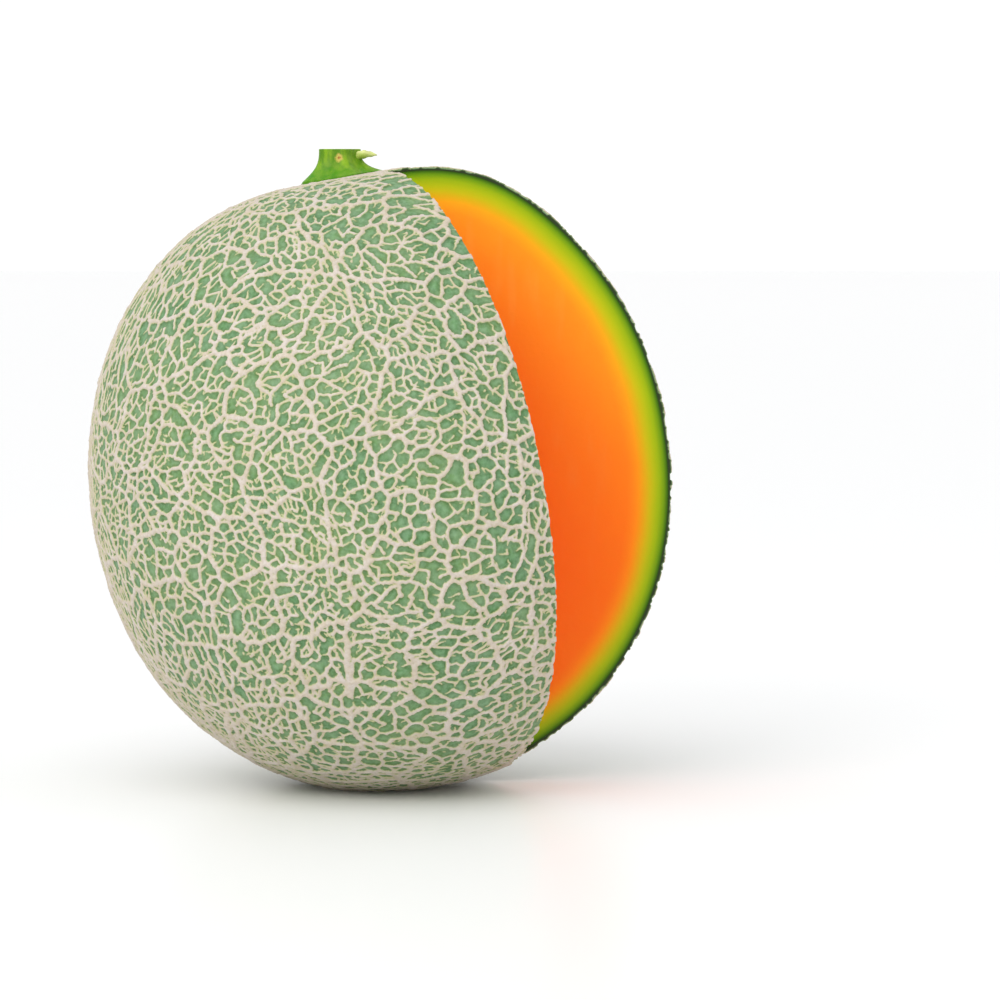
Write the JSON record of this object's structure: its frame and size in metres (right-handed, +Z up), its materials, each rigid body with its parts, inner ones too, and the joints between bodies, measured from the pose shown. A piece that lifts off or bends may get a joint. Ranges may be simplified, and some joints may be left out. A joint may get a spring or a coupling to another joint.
{
  "type": "cantaloupe melon with a wedge cut out",
  "caption": "Round netted melon standing on a small flat spot, with one wedge cut out from the stem down, open seed cavity, pulp strands, seeds and a green stalk stub.",
  "frame": {"origin": "middle of the small flat spot that the melon rests on", "axes": "+Z up, square to the flat spot; +X to the right with the cut wedge on the front right; -Y towards the viewer"},
  "size_m": [0.147, 0.1468, 0.1603],
  "materials": {
    "rind_and_flesh": null,
    "stalk": "fresh green stalk, matte with a soft sheen, cut flat at its top",
    "pulp": "wet orange pulp with pale fibres",
    "seed": "smooth cream-orange seed, wet gloss"
  },
  "bodies": {
    "root": {"melon_body": "rind_and_flesh", "stem": "stalk", "placenta_1": "pulp", "placenta_2": "pulp", "placenta_3": "pulp", "placenta_4": "pulp", "placenta_5": "pulp", "seed_01": "seed", "seed_02": "seed", "seed_03": "seed", "seed_04": "seed", "seed_05": "seed", "seed_06": "seed", "seed_07": "seed", "seed_08": "seed", "seed_09": "seed", "seed_10": "seed", "seed_11": "seed", "seed_12": "seed", "seed_13": "seed", "seed_14": "seed", "seed_15": "seed", "seed_16": "seed", "seed_17": "seed", "seed_18": "seed", "seed_19": "seed", "seed_20": "seed", "seed_21": "seed", "seed_22": "seed", "seed_23": "seed", "seed_24": "seed", "seed_25": "seed", "seed_26": "seed", "seed_27": "seed", "seed_28": "seed", "seed_29": "seed", "seed_30": "seed", "seed_31": "seed", "seed_32": "seed", "seed_33": "seed", "seed_34": "seed", "seed_35": "seed", "seed_36": "seed", "seed_37": "seed", "seed_38": "seed", "seed_39": "seed", "seed_40": "seed", "seed_41": "seed", "seed_42": "seed", "seed_43": "seed", "seed_44": "seed", "seed_45": "seed", "seed_46": "seed", "seed_47": "seed", "seed_48": "seed"}
  },
  "joints": []
}
